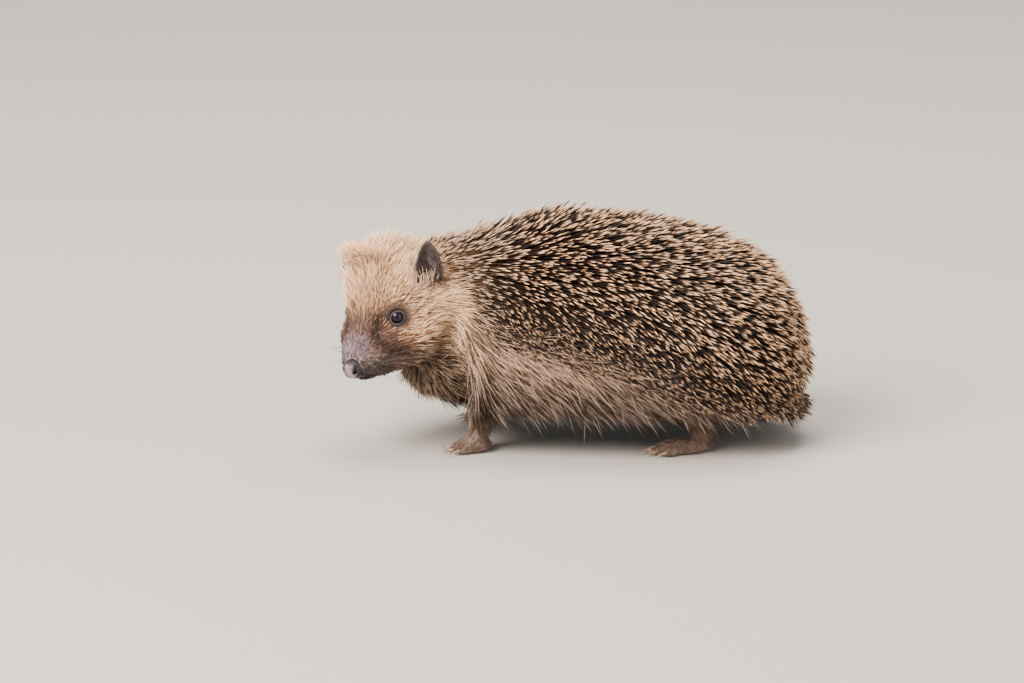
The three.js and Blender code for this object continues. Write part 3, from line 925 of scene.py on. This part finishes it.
def grow_fur(name, where, density, lengths, width, lifts, tip, stray, steps, one_in, gather, tones):
    roots = scatter(where * density)
    at, up_here = roots["at"], roots["normal"]
    count = len(at)
    if name in OWN_COLOUR:
        hex_colour, own = OWN_COLOUR[name]
        own = own * np.clip(roots["colour"].mean(axis=1, keepdims=True) * 3, 0.3, 1)
        roots["colour"] = (1 - own) * roots["colour"] + own * linear(hex_colour)
    if name in COMB:
        roots["way"] = flat_on(np.tile(COMB[name], (count, 1)), up_here)
    by_ear = 1 if name == "ear_tufts" else np.clip((ear_root_distance(at) - 1) / 9, 0.35, 1)
    stray = np.radians(dice.normal(0, stray, count))[:, None]
    way = unit(roots["way"] * np.cos(stray) + np.cross(up_here, roots["way"]) * np.sin(stray))
    length = fur_length(at, *lengths) * by_ear * dice.uniform(0.7, 1.15, count)
    length, corner = shortened(at, length * (1 - 0.6 * ease(at[:, 0], 84, 98)), HEM.get(name, 0))
    behind, _, up = head_place(at)
    raised = ease(behind, 28, 40) * ease(up, 14, 24) * ease(behind, 60, 50) * (lifts[0] < 40)
    lift = np.radians(dice.normal(*lifts, count) + 14 * raised) * (1 - 0.5 * corner)
    steps = np.array(steps)
    line = centre_lines(roots, way, length, lift, lift * tip, steps)
    line, tone = gathered(line, steps, roots, one_in, gather, dice.uniform(*tones, count))
    width = width * dice.uniform(0.7, 1.25, count)
    swell = np.array([0.8, 1.0, 0.8, 0.5])[: len(steps) - 1]
    pieces = []
    for chosen in np.array_split(dice.permutation(count), FUR_PIECES):
        some = {key: values[chosen] for key, values in roots.items()}
        shape = (line[:, chosen], steps, width[chosen], swell)
        pieces.append(strand_mesh(name, some, *shape, 3, 0.6, tone[chosen]))
    print(f"{name}: {count} strands")
    return pieces


shares = [grow_fur(name, *row) for name, row in FUR.items()]
fur = []
for number, kinds in enumerate(zip(*shares), 1):
    bpy.ops.object.select_all(action="DESELECT")
    for piece in kinds:
        piece.select_set(True)
    bpy.context.view_layer.objects.active = kinds[0]
    bpy.ops.object.join()
    fur.append(kinds[0])
    fur[-1].name = fur[-1].data.name = f"fur_{number}"
    print(fur[-1].name, len(fur[-1].data.polygons), "triangles")


# %% [markdown]
# ## Eyes and lids
#
# The eye of a hedgehog is a small black bead with a wet shine. The ball is a smooth sphere at the
# solid eye's place. Its lid is a dark rim that hugs the ball: a small circle spun round the eye's
# axis, which gives the rounded edge that catches the light.

# %% Make the eyeballs and the lids
LID_THICKNESS = 0.5
LID_RING = (2.92, 0, 1.25)  # where the lid's rim starts, from the ball's middle


def finished(name, made, slot, *nodes):
    """Writes a bmesh as a piece of the model that may stand for solid nodes."""
    mesh = bpy.data.meshes.new(name)
    made.to_mesh(mesh)
    made.free()
    shade_smooth(mesh)
    piece = put_in_scene(name, mesh)
    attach(piece, "root")
    if nodes:
        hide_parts(*nodes)
    print(name, len(mesh.polygons), "faces")
    return piece


def looking(direction):
    """A turn that takes +Z to the direction."""
    z_axis = unit(direction)
    x_axis = unit(np.cross(upward, z_axis))
    turn = np.stack([x_axis, np.cross(z_axis, x_axis), z_axis], axis=1)
    return Matrix(turn.tolist()).to_4x4()


eyes = []
lids = []
for word in gaze:
    place = Matrix.Translation(Vector(eye_middles[word] * MM)) @ looking(gaze[word])
    ball = bmesh.new()
    bmesh.ops.create_uvsphere(ball, u_segments=32, v_segments=20, radius=EYE_RADIUS * MM)
    bmesh.ops.transform(ball, matrix=place, verts=ball.verts)
    eyes.append(finished(f"eyeball_{word}", ball, "eye", f"eye_{word}"))

    rim = bmesh.new()
    bmesh.ops.create_circle(rim, segments=12, radius=LID_THICKNESS * MM)
    bmesh.ops.rotate(rim, verts=rim.verts, matrix=Matrix.Rotation(math.pi / 2, 3, "X"))
    bmesh.ops.translate(rim, verts=rim.verts, vec=Vector(LID_RING) * MM)
    bmesh.ops.spin(
        rim, geom=rim.verts[:] + rim.edges[:], cent=(0, 0, 0), axis=(0, 0, 1),
        angle=2 * math.pi, steps=36, use_merge=True,
    )
    bmesh.ops.remove_doubles(rim, verts=rim.verts, dist=0.001 * MM)
    inner = LID_RING[0] - LID_THICKNESS
    outward = [math.hypot(vert.co.x, vert.co.y) / MM - inner for vert in rim.verts]
    bmesh.ops.scale(rim, verts=rim.verts, vec=(1.04, 0.97, 1))
    bmesh.ops.transform(rim, matrix=place, verts=rim.verts)
    for vert in rim.verts:  # the lower lid widens into a soft pouch towards the nose
        away = np.array(vert.co) / MM - eye_middles[word]
        flat = away - gaze[word] * (away @ gaze[word])
        pouch = max(0.0, unit(flat) @ unit(forward * 0.8 - upward * 0.7)) ** 3
        brow = max(0.0, unit(flat) @ unit(upward)) ** 2
        from_rim = max(0.0, np.linalg.norm(flat) - 2.6)
        wider = unit(flat) * (from_rim * (0.9 * pouch - 0.2 * brow) - 0.22 * brow)
        wider = wider + gaze[word] * (0.3 * brow - 0.25 * pouch)
        vert.co = Vector((np.array(vert.co) / MM + wider) * MM)
    bmesh.ops.recalc_face_normals(rim, faces=rim.faces)
    lids.append(finished(f"lid_{word}", rim, "skin"))
    give(lids[-1].data, "outward", "FLOAT", outward)

# %% [markdown]
# ## Nose
#
# The nose pad is a blunt, moist knob with a groove down its middle and two comma-shaped nostrils
# that open to the sides. A sphere is stretched to its size and the groove and nostrils are pressed
# in, which keeps the surface closed.

# %% Shape the nose
painted_sheen = []
knob = bmesh.new()
bmesh.ops.create_uvsphere(knob, u_segments=56, v_segments=40, radius=1)
for vert in knob.verts:
    ahead, left, high = vert.co.x, vert.co.y, vert.co.z
    groove = bell(left, 0.12) * ease(ahead, 0.1, 0.7)
    nostril = bell(abs(left) - 0.7, 0.17) * bell(high - 0.05, 0.2) * ease(ahead, 0.0, 0.35)
    slit = bell(abs(left) - 0.84, 0.1) * bell(high - 0.3, 0.3) * ease(ahead, -0.3, 0.1)
    wing = bell(abs(left) - 0.5, 0.2) * bell(high, 0.6) * ease(ahead, 0.1, 0.5)
    press = 1 + 0.08 * wing - 0.14 * groove - 0.5 * nostril - 0.2 * slit
    # Painted sheen: the ridge down the front and the nostril wings get a pale value that stands for the
    # shine of the wet pad.
    ridge = bell(left - 0.08, 0.42) * ease(ahead, -0.1, 0.7) * ease(high, -1.1, -0.3)
    painted_sheen.append(min(1.0, 0.45 * wing + 0.75 * ridge) * (1 - nostril) * (1 - slit))
    blunt = 1 - 0.14 * ease(ahead, 0.5, 1)
    vert.co = Vector((ahead * blunt * press, left * press, high * press * (0.98 if high > 0 else 0.9)))
stretch = Matrix([axis * half for axis, half in zip(head_axes, NOSE_HALF)]).transposed().to_4x4()
in_place = Matrix.Translation(Vector(nose_middle * MM)) @ Matrix.Scale(MM, 4) @ stretch
bmesh.ops.transform(knob, matrix=in_place, verts=knob.verts)
nose = finished("nose_pad", knob, "nose", "nose")
give(nose.data, "painted_sheen", "FLOAT", painted_sheen)

# %% [markdown]
# ## Claws
#
# Each solid claw is a plain cone. The finished claw keeps its root and tip but is a smooth horn,
# narrow from side to side and hooked, so a cone with more rings is bent along the same line.

# %% Shape the claws
CLAW_THICKNESS = (0.95, 0.16)  # at the root and at the tip
CLAW_SUNK = 1.4  # how far the horn starts inside the toe
claws = []
for foot in ("forefoot_left", "forefoot_right", "hindfoot_left", "hindfoot_right"):
    horns = bmesh.new()
    heel = middle(foot)
    for number in range(1, 6):
        around = places(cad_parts[f"{foot}_claw_{number}"].data)
        reach = np.linalg.norm((around - heel)[:, :2], axis=1)
        root = around[reach < np.quantile(reach, 0.3)].mean(axis=0)
        run = around[reach.argmax()] - root
        flat_run = unit(run * np.array([1, 1, 0]))
        turn = np.stack([flat_run, np.cross([0, 0, 1], flat_run), [0, 0, 1]], axis=1)
        horn = bmesh.new()
        thick_root, thin_tip = CLAW_THICKNESS
        bmesh.ops.create_cone(
            horn, cap_ends=True, segments=10, radius1=thick_root, radius2=thin_tip, depth=1
        )
        uprights = [edge for edge in horn.edges if abs(edge.verts[0].co.z - edge.verts[1].co.z) > 0.5]
        bmesh.ops.subdivide_edges(horn, edges=uprights, cuts=5)
        length = np.linalg.norm(run[:2]) + 1.6
        for vert in horn.verts:
            share = vert.co.z + 0.5
            thick = 1 - 0.35 * share
            hook = 0.55 * math.sin(math.pi * share) + (run[2] + 0.25) * share
            ahead = share * length - CLAW_SUNK
            local = np.array([ahead, vert.co.x * 0.8 * thick, vert.co.y * thick + hook])
            vert.co = Vector((root + turn @ local) * MM)
        bmesh.ops.recalc_face_normals(horn, faces=horn.faces)
        one = bpy.data.meshes.new("one_claw")
        horn.to_mesh(one)
        horn.free()
        horns.from_mesh(one)
        bpy.data.meshes.remove(one)
    solids = [f"{foot}_claw_{number}" for number in range(1, 6)]
    claws.append(finished(f"claws_{foot}", horns, "claw", *solids))

# %% [markdown]
# ## Materials
#
# Small functions add the nodes: a value stored on the mesh, a grain, a colour band, and the surface
# itself. Every finish below starts from what the real surface is: horn, hair, bare skin, a wet eye.

# %% Helpers for material nodes
def add(tree, kind, inputs=None, **settings):
    made = tree.nodes.new("ShaderNode" + kind)
    for name, value in settings.items():
        setattr(made, name, value)
    for name, value in (inputs or {}).items():
        if isinstance(value, bpy.types.NodeSocket):
            tree.links.new(value, made.inputs[name])
        else:
            made.inputs[name].default_value = value
    return made


def new_material(name):
    material = bpy.data.materials.new(name)
    material.use_nodes = True
    material.node_tree.nodes.clear()
    return material, material.node_tree


def stored(tree, name, output="Fac"):
    return add(tree, "Attribute", attribute_name=name).outputs[output]


def grain(tree, scale, detail=2.0):
    """Cloudy noise fixed to the object."""
    place = add(tree, "TexCoord").outputs["Object"]
    settings = {"Vector": place, "Scale": scale, "Detail": detail}
    return add(tree, "TexNoise", settings).outputs[0]


def reckoned(tree, operation, *values):
    return add(tree, "Math", dict(enumerate(values)), operation=operation).outputs[0]


def levels(tree, value, dark, light, low=0.0, high=1.0):
    """Maps low..high to dark..light."""
    ends = {"Value": value, "From Min": low, "From Max": high, "To Min": dark, "To Max": light}
    return add(tree, "MapRange", ends).outputs[0]


def band(tree, value, *stops):
    """Picks a colour by value from (place, hex colour) pairs."""
    made = add(tree, "ValToRGB", {"Fac": value})
    elements = made.color_ramp.elements
    while len(elements) < len(stops):
        elements.new(1)
    for element, (place, colour) in zip(elements, stops):
        element.position = place
        element.color = (*linear(colour), 1)
    return made.outputs[0]


def mixed(tree, share, first, second, **settings):
    inputs = {"Factor": share, 6: first, 7: second}
    return add(tree, "Mix", inputs, data_type="RGBA", **settings).outputs[2]


def shade(tree, colour, level):
    return mixed(tree, 1.0, colour, level, blend_type="MULTIPLY")


def bumps(tree, height, strength, distance):
    settings = {"Height": height, "Strength": strength, "Distance": distance}
    return add(tree, "Bump", settings).outputs[0]


def surface(material, pieces, colour, roughness, **settings):
    """Ends a material with its surface and puts it on the pieces."""
    tree = material.node_tree
    inputs = {"Base Color": colour, "Roughness": roughness}
    inputs.update({name.replace("_", " "): value for name, value in settings.items()})
    shine = add(tree, "BsdfPrincipled", inputs)
    add(tree, "OutputMaterial", {"Surface": shine.outputs[0]})
    for piece in pieces:
        piece.data.materials.clear()
        piece.data.materials.append(material)


# %% [markdown]
# ### Spine horn
#
# Spines are keratin, like fingernails: smooth, satin, and coloured all through. `along` runs from
# root to tip and picks the band. A random `tone` moves the bands a little and dims some tips.

# %% Spine horn
keratin, tree = new_material("banded_spine_keratin")
tone = stored(tree, "tone")
shift = reckoned(tree, "MULTIPLY_ADD", tone, 0.11, -0.055)
place = reckoned(tree, "ADD", stored(tree, "along"), shift)
back_bands = band(
    tree, place, (0.0, "#c9ab86"), (0.25, "#5a3a24"), (0.35, "#1f110a"), (0.785, "#180d08"),
    (0.83, "#7d5a40"), (0.89, "#e2b78f"), (1.0, "#e8c6a4"),
)
neck_bands = band(
    tree, place, (0.0, "#d9bb96"), (0.4, "#a0764e"), (0.52, "#3d2618"), (0.7, "#3d2618"),
    (0.79, "#ecc4a2"), (1.0, "#f4d8c0"),
)
near_neck = add(tree, "SeparateColor", {"Color": stored(tree, "marking", "Color")}).outputs[0]
colour = shade(tree, mixed(tree, near_neck, back_bands, neck_bands), levels(tree, tone, 0.52, 1.08))
surface(keratin, spines, colour, 0.45, IOR=1.55, Specular_IOR_Level=0.22)

# %% [markdown]
# ### Hair
#
# Hedgehog hair is coarse and dull. A lock is darkest at its root, where it sits in shade, and
# palest towards its tip, and no two locks are quite the same colour.

# %% Hair
hair, tree = new_material("coarse_hair")
rising = levels(tree, stored(tree, "along"), 0.18, 1.0, high=0.65)
varied = levels(tree, stored(tree, "tone"), 0.22, 1.06)
colour = shade(tree, stored(tree, "marking", "Color"), reckoned(tree, "MULTIPLY", rising, varied))
surface(hair, fur, colour, 0.62, IOR=1.55, Specular_IOR_Level=0.3)
for pieces, slot in ((fur, "fur"), (spines, "quills")):
    for piece in pieces:
        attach(piece, "root")

# %% Bare skin
hide, tree = new_material("bare_skin")
blotches = levels(tree, grain(tree, 420.0, 3.0), 0.72, 1.12, low=0.3, high=0.7)
colour = shade(tree, stored(tree, "marking", "Color"), blotches)
surface(hide, [skin], colour, 0.6, Normal=bumps(tree, grain(tree, 2400.0), 0.5, 0.00012))

# %% Lid, nose, eye and claw
lid_hide, tree = new_material("lid_skin")
creases = grain(tree, 1600.0, 3.0)
tint = band(
    tree, stored(tree, "outward"), (0.0, "#120d0c"), (0.2, "#2c2427"), (0.5, "#463c44"),
    (0.75, "#30262a"), (1.0, "#241814"),
)
colour = shade(tree, tint, levels(tree, creases, 0.5, 1.4, low=0.35, high=0.65))
surface(lid_hide, lids, colour, 0.45, Normal=bumps(tree, creases, 0.6, 0.00015))

nose_hide, tree = new_material("moist_nose_painted_sheen")
where = add(tree, "TexCoord").outputs["Object"]
cells = add(
    tree, "TexVoronoi", {"Vector": where, "Scale": 2600.0}, feature="DISTANCE_TO_EDGE"
)
# Cloudy mottling plus the painted sheen; the pale pinkish-lilac end of the band is a painted highlight.
mottling_and_sheen = reckoned(tree, "MULTIPLY_ADD", grain(tree, 500.0), 0.5, stored(tree, "painted_sheen"))
surface(
    nose_hide, [nose], band(tree, mottling_and_sheen, (0.25, "#17171b"), (0.6, "#403840"), (1.0, "#9a8292")), 0.45,
    Specular_IOR_Level=0.25, Coat_Weight=0.45, Coat_Roughness=0.12, Coat_IOR=1.3,
    Normal=bumps(tree, cells.outputs[0], 0.5, 0.00015),
)

cornea, tree = new_material("wet_eye")
tint = band(tree, grain(tree, 900.0), (0.35, "#050507"), (0.75, "#0d0a0a"))
surface(cornea, eyes, tint, 0.16, Specular_IOR_Level=0.4, Specular_Tint=(0.75, 0.68, 1.0, 1.0))

claw_keratin, tree = new_material("claw_horn")
tint = band(tree, grain(tree, 700.0), (0.3, "#6b5548"), (0.7, "#b39a86"))
surface(claw_keratin, claws, tint, 0.35, IOR=1.55)

# %% [markdown]
# ## Camera, floor and light
#
# A long lens from a little above keeps the animal's proportions true. Light comes from a large soft
# panel overhead and in front, as on a bright overcast day, with a pale floor to bounce it.

# %% Camera
AIM = Vector((-27.2, 0, 41.3)) * MM
DISTANCE = 2.2
HEIGHT_ANGLE = math.radians(14.5)
FRAME_WIDTH = 0.4357  # what the picture spans at the animal
SENSOR_WIDTH = 36

camera_data = bpy.data.cameras.new("camera")
camera_data.sensor_width = SENSOR_WIDTH
camera_data.lens = SENSOR_WIDTH * DISTANCE / FRAME_WIDTH
camera_data.clip_start = 0.1
camera_data.clip_end = 50
camera = put_in_scene("camera", camera_data)
back = Vector((0, -math.cos(HEIGHT_ANGLE), math.sin(HEIGHT_ANGLE)))
camera.location = AIM + back * DISTANCE
camera.rotation_euler = (-back).to_track_quat("-Z", "Y").to_euler()
bpy.context.scene.camera = camera

# %% Floor and light
ground = bmesh.new()
bmesh.ops.create_grid(ground, x_segments=1, y_segments=1, size=6)
floor_mesh = bpy.data.meshes.new("floor")
ground.to_mesh(floor_mesh)
ground.free()
floor = put_in_scene("floor", floor_mesh)
matt, tree = new_material("pale_floor")
surface(matt, [floor], (*linear("#a9a7a3"), 1), 0.8)

LIT_SPOT = Vector((0, 0, 0.04))  # every lamp looks at the animal's middle
for name, spot, size, power in (
    ("key", (-1.0, -0.95, 1.25), 1.2, 112),
    ("fill", (1.2, -1.0, 0.7), 1.4, 18),
    ("top", (0.1, 0.4, 1.6), 1.2, 46),
):
    data = bpy.data.lights.new(name, "AREA")
    data.size = size
    data.energy = power
    data.color = linear("#fff2e4")
    lamp = put_in_scene(name, data)
    lamp.location = spot
    lamp.rotation_euler = (LIT_SPOT - Vector(spot)).to_track_quat("-Z", "Y").to_euler()
world = bpy.data.worlds.new("soft_sky")
world.use_nodes = True
sky = world.node_tree.nodes["Background"].inputs
sky["Color"].default_value = (*linear("#eceef0"), 1)
sky["Strength"].default_value = 0.6
bpy.context.scene.world = world
